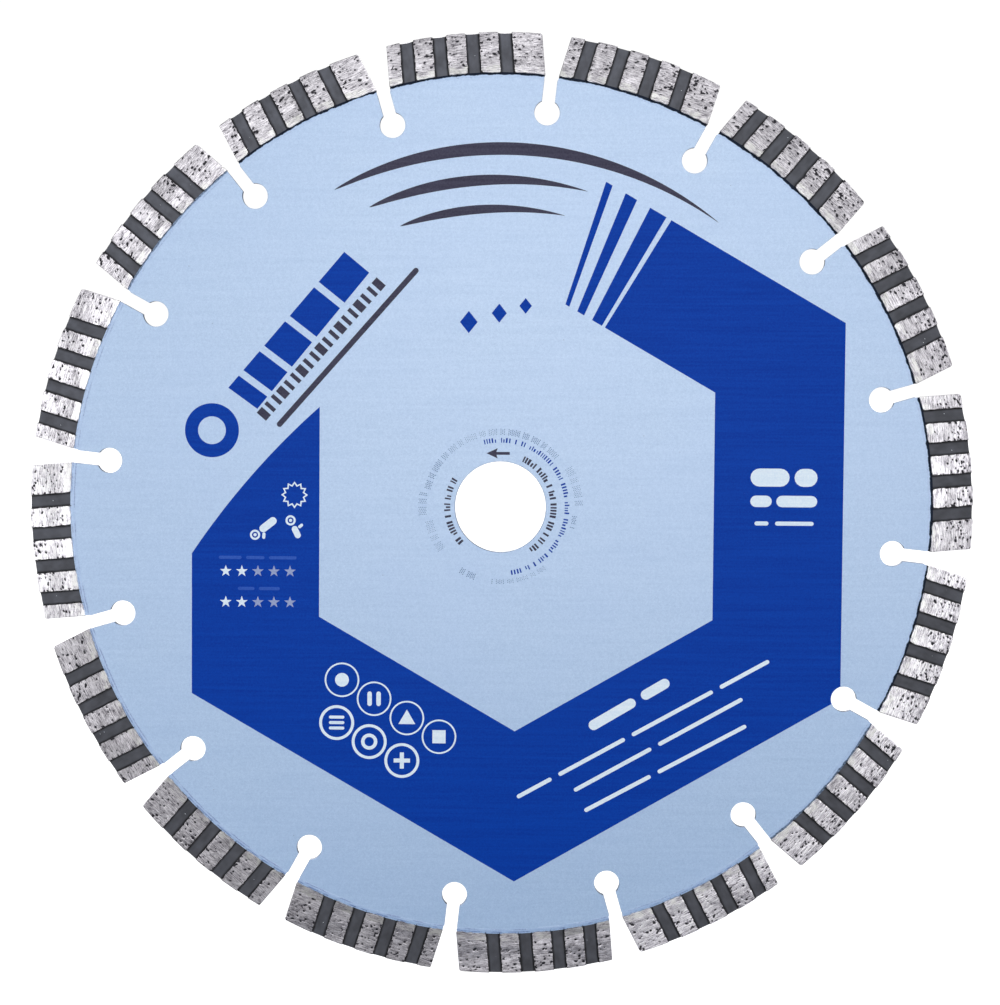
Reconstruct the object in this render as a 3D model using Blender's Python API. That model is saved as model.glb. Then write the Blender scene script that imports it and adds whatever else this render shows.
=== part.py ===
"""Diamond blade, 230 mm, segmented, laser welded: a steel core, the diamond
segments, their diamond-free feet and the weld seams.

Metres, +Z up. The blade stands upright: its spin axis is Y, its front face looks
along -Y, and the bore's centre on the core's mid-plane is the origin.
Angles run clockwise from the top (+Z) towards +X, as seen from the front.
Segment pieces are modelled at the top, where u runs along X, then turned about Y.
"""

import math

import bmesh
import bpy
import numpy as np

MM = 0.001

# Blade
BLADE_R = 115.0 * MM  # over the segments
SEGMENTS = 16
PITCH = 2 * math.pi / SEGMENTS
GULLET_PHASE = math.radians(6.334)  # first gullet
PIECE_GAP = 0.05 * MM  # left open between welded pieces
SHARP_ANGLE = math.radians(30)  # edges that turn more than this are shaded sharp

# Core
CORE_R = 104.3 * MM
CORE_THICKNESS = 1.8 * MM
RIM_STEPS = 4  # rim facets per half pitch
BORE_R = 11.115 * MM  # 22.23 mm arbor
BORE_STEPS = 96
CORE_EDGE = 0.08 * MM  # broken edge of the stamped core
CORE_EDGE_ANGLE = math.radians(60)  # only edges that turn more than this are broken

# Gullets: a slot from the rim down to a round keyhole
SLOT_WIDTH = 3.15 * MM
SLOT_OVERSHOOT = 3 * MM  # how far the cutter reaches beyond the rim
KEYHOLE_R = 3.1 * MM
KEYHOLE_CENTRE_R = 96.3 * MM
KEYHOLE_STEPS = 28

# Weld seam, foot and diamond layer
WELD_OUTER_R = 104.95 * MM
FOOT_OUTER_R = 107.0 * MM
WELD_THICKNESS = 2.0 * MM
SEGMENT_THICKNESS = 2.6 * MM
SEGMENT_MIN_U = -18.75 * MM
SEGMENT_MAX_U = 19.10 * MM
SEGMENT_CENTRE_U = 0.5 * (SEGMENT_MIN_U + SEGMENT_MAX_U)
WELD_INSET = 0.10 * MM  # the seam stops short of each segment end
CORNER_R = 0.5 * MM  # outer corners of a segment
CORNER_STOPS = (0.134, 0.5)  # 1 - cos of 30 and 60 degrees, in corner radii from the end
ARC_STEP = 2.4 * MM  # longest facet along a segment's arcs
MIN_STOP_GAP = 0.3 * MM  # an arc stop closer than this to another is left out

# Side grooves, running radially across the foot and the diamond layer
GROOVES = 4  # on each side
GROOVE_WIDTH = 3.4 * MM
GROOVE_PITCH = 7.98 * MM
GROOVE_DEPTH = 0.55 * MM
GROOVE_DRAFT = 0.12 * MM  # a groove's wall leans outwards by this much
FIRST_GROOVE_U = -13.80 * MM  # centre of the most counter-clockwise front groove


def clear_scene():
    for obj in list(bpy.data.objects):
        bpy.data.objects.remove(obj, do_unlink=True)
    for mesh in list(bpy.data.meshes):
        bpy.data.meshes.remove(mesh)
    for material in list(bpy.data.materials):
        bpy.data.materials.remove(material)


# Helpers


def principled(name, colour, roughness, metallic):
    material = bpy.data.materials.new(name)
    material.use_nodes = True
    shader = material.node_tree.nodes["Principled BSDF"]
    shader.inputs["Base Color"].default_value = (*colour, 1.0)
    shader.inputs["Roughness"].default_value = roughness
    shader.inputs["Metallic"].default_value = metallic
    material.diffuse_color = (*colour, 1.0)
    return material


def circle(radius, steps, phase=0.0, offset=0.0):
    """Clockwise (x, z) points about the origin; offset is a fraction of a step."""
    angles = [phase + 2 * math.pi * (i + offset) / steps for i in range(steps)]
    return [(radius * math.sin(angle), radius * math.cos(angle)) for angle in angles]


def turn(outline, angle):
    """The (x, z) outline turned clockwise about the origin."""
    cos, sin = math.cos(angle), math.sin(angle)
    return [(x * cos + z * sin, z * cos - x * sin) for x, z in outline]


def add_prism(bm, outline, half):
    """Add a closed slab from y = -half to y = +half over a clockwise (x, z) outline."""
    front = [bm.verts.new((x, -half, z)) for x, z in outline]
    rear = [bm.verts.new((x, half, z)) for x, z in outline]
    bm.faces.new(front)
    bm.faces.new(rear[::-1])
    count = len(outline)
    for i in range(count):
        j = (i + 1) % count
        bm.faces.new((front[i], rear[i], rear[j], front[j]))


def prisms(outlines, half):
    bm = bmesh.new()
    for outline in outlines:
        add_prism(bm, outline, half)
    return bm


def finish_mesh(bm, name, material=None):
    """Turn the bmesh into a mesh; one with a material is visible and gets shaded."""
    bmesh.ops.recalc_face_normals(bm, faces=bm.faces)
    mesh = bpy.data.meshes.new(name)
    bm.to_mesh(mesh)
    bm.free()
    if material is not None:
        mesh.materials.append(material)
        mesh.shade_smooth()
        mesh.set_sharp_from_angle(angle=SHARP_ANGLE)
    return mesh


def add_object(name, mesh=None, parent=None):
    obj = bpy.data.objects.new(name, mesh)
    bpy.context.scene.collection.objects.link(obj)
    obj.parent = parent
    return obj


def add_cutter(name, outlines):
    """A hidden helper that reaches past both faces of the core."""
    cutter = add_object(name, finish_mesh(prisms(outlines, CORE_THICKNESS), name))
    cutter.hide_render = True
    cutter.display_type = "WIRE"
    return cutter


# Core


def gullet_outline():
    """A gullet at the top: a slot from beyond the rim down to the round keyhole."""
    half_width = 0.5 * SLOT_WIDTH
    top = CORE_R + SLOT_OVERSHOOT
    opening = math.asin(half_width / KEYHOLE_R)
    outline = [(-half_width, top), (half_width, top)]
    for i in range(KEYHOLE_STEPS + 1):
        angle = opening + (2 * math.pi - 2 * opening) * i / KEYHOLE_STEPS
        x = KEYHOLE_R * math.sin(angle)
        z = KEYHOLE_CENTRE_R + KEYHOLE_R * math.cos(angle)
        outline.append((x, z))
    return outline


def build_core(material, parent):
    # The half-step offset centres a rim facet on each gullet's mouth.
    rim = circle(CORE_R, SEGMENTS * 2 * RIM_STEPS, phase=GULLET_PHASE, offset=0.5)
    bm = prisms([rim], 0.5 * CORE_THICKNESS)
    core = add_object("steel_core", finish_mesh(bm, "steel_core", material), parent)

    # The offset puts a rim vertex half a step to either side of that facet's middle.
    gullets = [turn(gullet_outline(), GULLET_PHASE + k * PITCH) for k in range(SEGMENTS)]
    cutters = {
        "bore": add_cutter("bore_cutter", [circle(BORE_R, BORE_STEPS)]),
        "gullets": add_cutter("gullet_cutter", gullets),
    }
    for name, cutter in cutters.items():
        cut = core.modifiers.new(name, "BOOLEAN")
        cut.operation = "DIFFERENCE"
        cut.object = cutter

    broken = core.modifiers.new("broken_edge", "BEVEL")
    broken.width = CORE_EDGE
    broken.segments = 1
    broken.limit_method = "ANGLE"
    broken.angle_limit = CORE_EDGE_ANGLE
    broken.use_clamp_overlap = True


# Weld seams, feet and diamond layers


def flat_side(side, half, u_min, u_max):
    """(u, y) from end to end; side is -1 for the front and +1 for the rear."""
    return [(u_min, side * half), (u_max, side * half)]


def groove_centres(side):
    """The rear grooves are the front ones mirrored in u about the segment's middle,
    so they fall between them."""
    front = [FIRST_GROOVE_U + GROOVE_PITCH * i for i in range(GROOVES)]
    if side < 0:
        return front
    return sorted(2 * SEGMENT_CENTRE_U - u for u in front)


def grooved_side(side):
    """A segment's flat side with trapezoid grooves let into it."""
    half = 0.5 * SEGMENT_THICKNESS
    mouth = 0.5 * GROOVE_WIDTH
    floor = mouth - GROOVE_DRAFT
    face_y = side * half
    floor_y = side * (half - GROOVE_DEPTH)
    start, end = flat_side(side, half, SEGMENT_MIN_U, SEGMENT_MAX_U)
    points = [start]
    for centre in groove_centres(side):
        points += [
            (centre - mouth, face_y),
            (centre - floor, floor_y),
            (centre + floor, floor_y),
            (centre + mouth, face_y),
        ]
    return points + [end]


def layer_stops(front, rear, rounded):
    """Every u at which a side or an arc turns, in order."""
    u_min, u_max = front[0][0], front[-1][0]
    stops = {round(u, 9) for u, _ in front + rear}
    count = math.ceil((u_max - u_min) / ARC_STEP)
    for i in range(1, count):
        u = u_min + (u_max - u_min) * i / count
        if min(abs(u - stop) for stop in stops) > MIN_STOP_GAP:
            stops.add(round(u, 9))
    if rounded:
        for end, inward in ((u_min, 1), (u_max, -1)):
            for step in CORNER_STOPS:
                stops.add(round(end + inward * step * CORNER_R, 9))
    return sorted(stops)


def arc_height(u, radius):
    return math.sqrt(radius * radius - u * u)


def corner_drop(run):
    """How far a rounded corner lies below the arc at a distance from the end."""
    if run >= CORNER_R:
        return 0.0
    return CORNER_R - math.sqrt(CORNER_R**2 - (CORNER_R - run) ** 2)


def arc_layer(inner_r, outer_r, front, rear, rounded=False):
    """A layer along the rim: parallel ends, arcs inside and outside, given sides."""
    u_min, u_max = front[0][0], front[-1][0]
    stops = layer_stops(front, rear, rounded)
    front_ys = np.interp(stops, *zip(*front))
    rear_ys = np.interp(stops, *zip(*rear))

    bm = bmesh.new()
    sections = []
    for u, front_y, rear_y in zip(stops, front_ys, rear_ys):
        low, high = arc_height(u, inner_r), arc_height(u, outer_r)
        if rounded:
            high -= corner_drop(min(u - u_min, u_max - u))
        corners = ((front_y, low), (front_y, high), (rear_y, high), (rear_y, low))
        sections.append([bm.verts.new((u, y, z)) for y, z in corners])
    for near, far in zip(sections, sections[1:]):
        for i in range(4):
            j = (i + 1) % 4
            bm.faces.new((near[i], near[j], far[j], far[i]))
    bm.faces.new(sections[0])
    bm.faces.new(sections[-1][::-1])
    return bm


def build_ring(prefix, layer, material, parent):
    """One copy of the layer midway between each pair of gullets, sharing a mesh."""
    mesh = finish_mesh(layer, prefix, material)
    for k in range(SEGMENTS):
        obj = add_object(f"{prefix}_{k + 1:02d}", mesh, parent)
        # A turn about +Y carries +Z towards +X, which is clockwise from the front.
        obj.rotation_euler = (0.0, GULLET_PHASE + (k + 0.5) * PITCH, 0.0)


def build_weld_seams(material, parent):
    front, rear = (
        flat_side(
            side,
            0.5 * WELD_THICKNESS,
            SEGMENT_MIN_U + WELD_INSET,
            SEGMENT_MAX_U - WELD_INSET,
        )
        for side in (-1, 1)
    )
    layer = arc_layer(CORE_R + PIECE_GAP, WELD_OUTER_R, front, rear)
    build_ring("weld_seam", layer, material, parent)


def build_feet(material, parent):
    inner_r = WELD_OUTER_R + PIECE_GAP
    outer_r = FOOT_OUTER_R - 0.5 * PIECE_GAP
    layer = arc_layer(inner_r, outer_r, grooved_side(-1), grooved_side(1))
    build_ring("segment_foot", layer, material, parent)


def build_diamond_segments(material, parent):
    inner_r = FOOT_OUTER_R + 0.5 * PIECE_GAP
    layer = arc_layer(inner_r, BLADE_R, grooved_side(-1), grooved_side(1), rounded=True)
    build_ring("diamond_segment", layer, material, parent)


def main():
    clear_scene()
    spin_axis = add_object("spin_axis")

    lacquer = principled(
        "lacquered_steel", colour=(0.418, 0.546, 0.745), roughness=0.38, metallic=0.0
    )
    weld = principled(
        "lacquered_weld", colour=(0.25, 0.36, 0.56), roughness=0.45, metallic=0.2
    )
    foot = principled(
        "sintered_foot", colour=(0.62, 0.63, 0.64), roughness=0.34, metallic=1.0
    )
    diamond = principled(
        "sintered_diamond", colour=(0.50, 0.51, 0.52), roughness=0.42, metallic=1.0
    )

    build_core(lacquer, spin_axis)
    build_weld_seams(weld, spin_axis)
    build_feet(foot, spin_axis)
    build_diamond_segments(diamond, spin_axis)


main()
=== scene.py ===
"""Looks of a 230 mm segmented diamond blade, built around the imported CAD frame.

Metres, +Z up. The disc stands upright, its bore along Y, its printed face towards -Y.
Helper functions take millimetres, and angles clockwise from the top, seen from the front.
A segment has its own frame: `along` runs clockwise along the rim from the segment's middle
line, y is the blade's own, and `out` points from the bore through the middle of the segment.
"""

import math

import bpy
import numpy as np
from mathutils import Matrix, Vector
from mathutils.geometry import delaunay_2d_cdt


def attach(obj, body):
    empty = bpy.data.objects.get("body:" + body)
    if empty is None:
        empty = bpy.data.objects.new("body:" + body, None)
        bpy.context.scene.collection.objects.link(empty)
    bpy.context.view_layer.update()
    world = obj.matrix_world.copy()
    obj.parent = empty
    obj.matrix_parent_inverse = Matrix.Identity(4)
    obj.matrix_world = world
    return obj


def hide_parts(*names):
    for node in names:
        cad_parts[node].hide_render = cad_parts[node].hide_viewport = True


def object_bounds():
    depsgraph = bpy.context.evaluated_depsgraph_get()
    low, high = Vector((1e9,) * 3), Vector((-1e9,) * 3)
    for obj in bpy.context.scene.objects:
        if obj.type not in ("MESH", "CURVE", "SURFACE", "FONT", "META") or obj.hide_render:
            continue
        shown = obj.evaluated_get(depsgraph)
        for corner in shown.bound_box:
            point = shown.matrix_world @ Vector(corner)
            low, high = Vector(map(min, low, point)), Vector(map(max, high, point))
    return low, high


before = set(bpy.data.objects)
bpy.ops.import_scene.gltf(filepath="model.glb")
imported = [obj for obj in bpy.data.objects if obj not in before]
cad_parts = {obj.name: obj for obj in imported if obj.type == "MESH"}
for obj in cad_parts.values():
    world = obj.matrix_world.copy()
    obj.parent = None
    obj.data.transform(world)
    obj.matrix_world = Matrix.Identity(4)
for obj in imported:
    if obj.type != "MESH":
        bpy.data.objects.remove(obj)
cad_low, cad_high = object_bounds()

MM = 0.001
SEGMENTS = 16
FIRST_SLOT = math.radians(6.334)
PITCH = 2 * math.pi / SEGMENTS
TURNS = FIRST_SLOT + (np.arange(SEGMENTS) + 0.5) * PITCH  # middle of each segment

# Half thicknesses, and the thickness of the coats on a face.
HALF_CORE = 0.9
HALF_SEGMENT = 1.3
LACQUER = 0.03
INK = 0.016
INK_SINK = 0.004  # how far the ink reaches into what lies under it

RIM_R = 115.0
LAYER_R = 107.0  # diamond layer from here outwards, sintered foot inwards
FOOT_R = 105.0
CORE_R = 104.3
BORE_R = 11.115
SLOT_HALF = 1.575
KEYHOLE_R = 3.1
KEYHOLE_CENTRE = 96.3

ALONG_MIN, ALONG_MAX = -18.75, 19.10  # the two ends of a segment
GROOVE_HALF = 1.7
GROOVE_DEPTH = 0.55
DRAFT = 0.12  # how far a groove's wall leans in
FRONT_GROOVES = [-13.80 + 7.98 * i for i in range(4)]
REAR_GROOVES = sorted(ALONG_MIN + ALONG_MAX - centre for centre in FRONT_GROOVES)
GROOVES = {-1: FRONT_GROOVES, 1: REAR_GROOVES}  # by side: -1 is the front, 1 the rear


# ---------------------------------------------------------------- noise and meshes


class Noise:
    """Smooth value noise on a wrapped lattice, from -1 to 1.

    Callers divide a length by the size of the wanted detail in millimetres. Constants added
    to a coordinate only pick a separate strip of the lattice.
    """

    def __init__(self, seed):
        self.table = np.random.RandomState(seed).uniform(-1, 1, (256, 256))

    def __call__(self, x, y=0.0):
        x, y = np.broadcast_arrays(np.asarray(x, float), np.asarray(y, float))
        col, row = np.floor(x).astype(int), np.floor(y).astype(int)
        x, y = x - col, y - row
        x, y = x * x * (3 - 2 * x), y * y * (3 - 2 * y)
        near = self.table[col % 256, row % 256]
        near_next = self.table[(col + 1) % 256, row % 256]
        far = self.table[col % 256, (row + 1) % 256]
        far_next = self.table[(col + 1) % 256, (row + 1) % 256]
        return (near + (near_next - near) * x) * (1 - y) + (far + (far_next - far) * x) * y

    def fractal(self, x, y):
        """Three octaves."""
        total, weight = 0.0, 0.0
        for i in range(3):
            total = total + self(x * 2**i + 17.3 * i, y * 2**i + 5.1 * i) / 2**i
            weight += 1 / 2**i
        return total / weight


def polar(angle, radius):
    return (radius * math.sin(angle), radius * math.cos(angle))


def turned(along, out, angle):
    """(x, z) of a place given in a frame turned clockwise by this angle."""
    cos, sin = math.cos(angle), math.sin(angle)
    return along * cos + out * sin, out * cos - along * sin


def towards(k, degrees):
    """1 if segment k lies at this angle clockwise from the top, -1 if it lies opposite."""
    return math.cos(TURNS[k] - math.radians(degrees))


def make_object(name, points, faces, attributes=None, sharp=35.0, smooth=True):
    """Object from points in millimetres; attributes maps a name to one 3-vector per point."""
    mesh = bpy.data.meshes.new(name)
    mesh.from_pydata((np.asarray(points) * MM).tolist(), [], faces)
    for key, values in (attributes or {}).items():
        layer = mesh.attributes.new(key, "FLOAT_VECTOR", "POINT")
        layer.data.foreach_set("vector", np.asarray(values, np.float32).ravel())
    mesh.validate()
    if smooth:
        mesh.shade_smooth()
        mesh.set_sharp_from_angle(angle=math.radians(sharp))
    obj = bpy.data.objects.new(name, mesh)
    bpy.context.scene.collection.objects.link(obj)
    return obj


def two_sided(front, rear, between, edge_marks, roughen=None):
    """Closed mesh from a front and a rear (points, marks) pair of grids, rows x columns.

    Their borders are joined by `between` rows of quads. Returns points, faces and marks.
    """
    rows, cols = front[0].shape[:2]
    count = rows * cols
    index = np.arange(count).reshape(rows, cols)
    corners = [index[:-1, :-1], index[:-1, 1:], index[1:, 1:], index[1:, :-1]]
    quads = np.stack(corners, -1).reshape(-1, 4)
    faces = [quads, quads[:, ::-1] + count]
    border = np.concatenate(
        [index[0, :-1], index[:-1, -1], index[-1, :0:-1], index[:0:-1, 0]]
    )
    points, marks = ([front[i].reshape(-1, 3), rear[i].reshape(-1, 3)] for i in (0, 1))
    front_edge, rear_edge = points[0][border], points[1][border]
    rings = [border]
    for i in range(1, between):
        t = i / between
        ring_points = front_edge * (1 - t) + rear_edge * t
        if roughen is not None:
            ring_points = roughen(ring_points)
        points.append(ring_points)
        marks.append(np.tile(edge_marks, (len(border), 1)))
        rings.append(2 * count + (i - 1) * len(border) + np.arange(len(border)))
    rings.append(border + count)
    for this, following in zip(rings, rings[1:]):
        quad = [np.roll(this, -1), this, following, np.roll(following, -1)]
        faces.append(np.stack(quad, -1))
    return np.concatenate(points), np.concatenate(faces).tolist(), np.concatenate(marks)


def place(points, angle):
    """(along, y, out) of a segment centred at this angle, to the blade's frame."""
    x, z = turned(points[:, 0], points[:, 2], angle)
    return np.stack([x, points[:, 1], z], -1)


def inside(points, loops):
    """Whether each point lies inside an odd number of the loops."""
    x, z = points[:, 0], points[:, 1]
    odd = np.zeros(len(points), bool)
    for loop in loops:
        corners = np.array(loop, float)
        for (x0, z0), (x1, z1) in zip(corners, np.roll(corners, -1, 0)):
            if z0 != z1:
                crosses = (z0 > z) != (z1 > z)
                odd ^= crosses & (x < x0 + (z - z0) * (x1 - x0) / (z1 - z0))
    return odd


def triangles(loops):
    """Triangles inside the first loop and outside the others, counter-clockwise in (x, z)."""
    points, edges = [], []
    for loop in loops:
        first, count = len(points), len(loop)
        points += [tuple(point) for point in loop]
        edges += [(first + i, first + (i + 1) % count) for i in range(count)]
    flat, _, faces, _, _, _ = delaunay_2d_cdt(points, edges, [], 1, 1e-6)
    flat = np.array([tuple(point) for point in flat])
    centres = np.array([flat[list(face)].mean(0) for face in faces])
    found = []
    for face, kept in zip(faces, inside(centres, loops)):
        if not kept:
            continue
        for i in range(1, len(face) - 1):
            a, b, c = face[0], face[i], face[i + 1]
            side_b, side_c = flat[b] - flat[a], flat[c] - flat[a]
            turn = side_b[0] * side_c[1] - side_b[1] * side_c[0]
            if abs(turn) > 1e-12:
                found.append((a, b, c) if turn > 0 else (a, c, b))
    return flat, found


def slabs(name, shapes, y_low, y_high):
    """One object of closed flat slabs. A shape is a list of (x, z) loops: outline, then holes."""
    points, faces = [], []
    for loops in shapes:
        flat, tris = triangles(loops)
        low, high = len(points), len(points) + len(flat)
        points += [(x, y_low, z) for x, z in flat] + [(x, y_high, z) for x, z in flat]
        directed = set()
        for a, b, c in tris:
            faces.append([low + a, low + b, low + c])
            faces.append([high + a, high + c, high + b])
            directed |= {(a, b), (b, c), (c, a)}
        for a, b in sorted(directed):
            if (b, a) not in directed:
                faces.append([low + b, low + a, high + a, high + b])
    return make_object(name, np.array(points), faces, smooth=False)


# ---------------------------------------------------------------- materials


class Material:
    """A node material with short calls for the nodes used here."""

    def __init__(self, name):
        self.material = bpy.data.materials.new(name)
        self.material.use_nodes = True
        self.tree = self.material.node_tree
        self.shader = self.tree.nodes["Principled BSDF"]

    def node(self, kind, inputs=None, **properties):
        made = self.tree.nodes.new(kind)
        for key, value in properties.items():
            setattr(made, key, value)
        for key, value in (inputs or {}).items():
            self.put(made.inputs[key], value)
        return made

    def put(self, socket, value):
        if isinstance(value, bpy.types.NodeSocket):
            self.tree.links.new(value, socket)
        elif isinstance(value, (tuple, list)) and len(value) == 3 and socket.type == "RGBA":
            socket.default_value = (*value, 1.0)
        else:
            socket.default_value = value

    def set(self, **inputs):
        """Inputs of the Principled shader, spaces in their names written as underscores."""
        for key, value in inputs.items():
            self.put(self.shader.inputs[key.replace("_", " ")], value)

    def attribute(self, name):
        return self.node("ShaderNodeAttribute", attribute_name=name).outputs["Vector"]

    def position(self):
        """Place on the object in millimetres."""
        where = self.node("ShaderNodeTexCoord").outputs["Object"]
        return self.node(
            "ShaderNodeVectorMath", {0: where, "Scale": 1000.0}, operation="SCALE"
        ).outputs[0]

    def noise(
        self, vector, stretch=(1.0, 1.0, 1.0), scale=1.0, detail=2.0, roughness=0.5, distortion=0.0
    ):
        """Noise over the vector, its axes first multiplied by `stretch` unless that is None."""
        if stretch is not None:
            vector = self.node(
                "ShaderNodeVectorMath", {0: vector, 1: stretch}, operation="MULTIPLY"
            ).outputs[0]
        inputs = {
            "Vector": vector,
            "Scale": scale,
            "Detail": detail,
            "Roughness": roughness,
            "Distortion": distortion,
        }
        return self.node("ShaderNodeTexNoise", inputs).outputs["Fac"]

    def math(self, operation, a, b=0.0):
        return self.node("ShaderNodeMath", {0: a, 1: b, 2: 0.0}, operation=operation).outputs[0]

    def add(self, a, b):
        return self.math("ADD", a, b)

    def times(self, value, gain):
        return self.math("MULTIPLY", value, gain)

    def centred(self, value):
        """A noise moved to vary about zero."""
        return self.math("SUBTRACT", value, 0.5)

    def remap(self, value, over, to=(0.0, 1.0), smooth=False):
        """The value's range `over` stretched to the range `to`, clamped."""
        inputs = {
            "Value": value,
            "From Min": over[0],
            "From Max": over[1],
            "To Min": to[0],
            "To Max": to[1],
        }
        return self.node(
            "ShaderNodeMapRange",
            inputs,
            clamp=True,
            interpolation_type="SMOOTHSTEP" if smooth else "LINEAR",
        ).outputs["Result"]

    def mix(self, factor, a, b, blend="MIX"):
        """Colour a at factor 0, b at factor 1."""
        inputs = {0: factor, 6: a, 7: b}
        return self.node("ShaderNodeMix", inputs, data_type="RGBA", blend_type=blend).outputs[2]

    def mix_value(self, factor, a, b):
        inputs = {0: factor, 2: a, 3: b}
        return self.node("ShaderNodeMix", inputs, data_type="FLOAT").outputs[0]

    def bump(self, height, distance, strength):
        inputs = {"Height": height, "Distance": distance, "Strength": strength}
        return self.node("ShaderNodeBump", inputs).outputs["Normal"]

    def split(self, vector):
        return self.node("ShaderNodeSeparateXYZ", {0: vector}).outputs


def srgb(*rgb):
    """Linear colour from 0-255 sRGB values."""

    def linear(value):
        value /= 255.0
        return value / 12.92 if value <= 0.04045 else ((value + 0.055) / 1.055) ** 2.4

    return tuple(linear(value) for value in rgb)


def groove_skin(mat, local, grain, drag, tone):
    """Colour of the sinter skin in the grooves, and its fine grain."""
    fine = mat.noise(local, stretch=(9.0, 9.0, 9.0), detail=3.0, roughness=0.6)
    cloud = mat.noise(local, stretch=(0.5, 0.5, 0.35))
    skin = mat.mix(mat.remap(cloud, over=(0.3, 0.7)), srgb(59, 60, 66), srgb(79, 81, 89))
    skin = mat.mix(mat.remap(fine, over=(0.35, 0.75), to=(0.0, 0.35)), skin, srgb(88, 92, 100))
    # Painted shade in the corners under the walls and on the walls, then the segment's own tone,
    # then rare bright specks.
    skin = mat.mix(mat.remap(drag, over=(0.0, 0.9), to=(0.0, 0.96)), skin, srgb(14, 14, 18))
    skin = mat.mix(1.0, skin, tone, "MULTIPLY")
    skin = mat.mix(mat.remap(grain, over=(0.5, 0.7)), skin, srgb(228, 236, 244))
    return skin, fine


def sintered_material(name, grit):
    """Ground bond on the blocks, matt skin in the grooves; dark grains and drag marks."""
    mat = Material(name)
    local = mat.attribute("loc")
    grain, drag, dark = mat.split(mat.attribute("marks"))
    tones = mat.split(mat.attribute("tone"))
    # Grinding scratches run along the tangent, so the noise is stretched that way.
    long_scratch = mat.noise(
        local, stretch=(0.30, 1.5, 4.8), detail=5.0, roughness=0.76, distortion=0.12
    )
    fine_scratch = mat.noise(
        local, stretch=(1.0, 3.0, 12.0), detail=3.0, roughness=0.72, distortion=0.05
    )
    patches = mat.noise(local, stretch=(0.5, 1.0, 0.7), detail=4.0, roughness=0.6)
    speckle = mat.noise(local, stretch=(4.6, 5.0, 6.5), roughness=0.65)
    pitting = mat.noise(local, stretch=(2.4, 3.0, 5.0), detail=3.0, roughness=0.7)
    streak = mat.add(mat.times(long_scratch, 0.56), mat.times(fine_scratch, 0.34))
    streak = mat.add(streak, mat.times(mat.centred(patches), 0.16))
    streak = mat.add(streak, mat.times(speckle, 0.12))

    # Scratch grain; its near-white streaks and patches are partly painted glint.
    bright = mat.remap(streak, over=(0.415, 0.565))
    metal = mat.mix(bright, srgb(96, 92, 102), srgb(252, 249, 255))
    # Speckles and pits darken the metal; on the feet, patches make it paler.
    specks = mat.remap(speckle, over=(0.60, 0.74), to=(0.0, 0.25))
    metal = mat.mix(specks, metal, srgb(84, 80, 90))
    pits = mat.remap(pitting, over=(0.60, 0.72), to=(0.0, 0.35))
    metal = mat.mix(pits, metal, srgb(70, 67, 76))
    if not grit:
        pale = mat.remap(patches, over=(0.45, 0.6), to=(0.0, 0.5))
        metal = mat.mix(pale, metal, srgb(232, 234, 226))
    # Painted reflection: each segment's brightness, from its tone.
    metal = mat.mix(1.0, metal, tones[0], "MULTIPLY")
    dragged = mat.remap(drag, over=(0.05, 0.9), to=(0.0, 0.62))
    metal = mat.mix(dragged, metal, srgb(80, 76, 86))
    if grit:
        ragged = mat.add(grain, mat.times(mat.centred(speckle), 0.55))
        grain_mask = mat.remap(ragged, over=(0.34, 0.62), smooth=True)
    else:
        grain_mask = mat.remap(grain, over=(0.4, 0.8))
    metal = mat.mix(grain_mask, metal, srgb(36, 35, 42))

    skin, skin_grain = groove_skin(mat, local, grain, drag, tones[1])
    polish = mat.remap(streak, over=(0.3, 0.7), to=(0.52, 0.30))
    relief = mat.add(streak, mat.times(speckle, 0.35))
    height = mat.mix_value(dark, relief, mat.times(skin_grain, 0.35))
    mat.set(
        Base_Color=mat.mix(dark, metal, skin),
        Metallic=mat.mix_value(dark, mat.mix_value(grain_mask, 0.92, 0.1), 0.25),
        Roughness=mat.mix_value(
            dark,
            mat.mix_value(grain_mask, polish, 0.75),
            mat.remap(skin_grain, over=(0.3, 0.7), to=(0.55, 0.72)),
        ),
        Specular_IOR_Level=0.4,
        # The scratches run along the rim, so they draw highlights out across it.
        Anisotropic=mat.mix_value(dark, 0.75, 0.0),
        Anisotropic_Rotation=0.25,
        Tangent=mat.node("ShaderNodeTangent", direction_type="RADIAL", axis="Y").outputs[0],
        Normal=mat.bump(height, distance=0.00005, strength=0.55),
    )
    return mat.material


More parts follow.
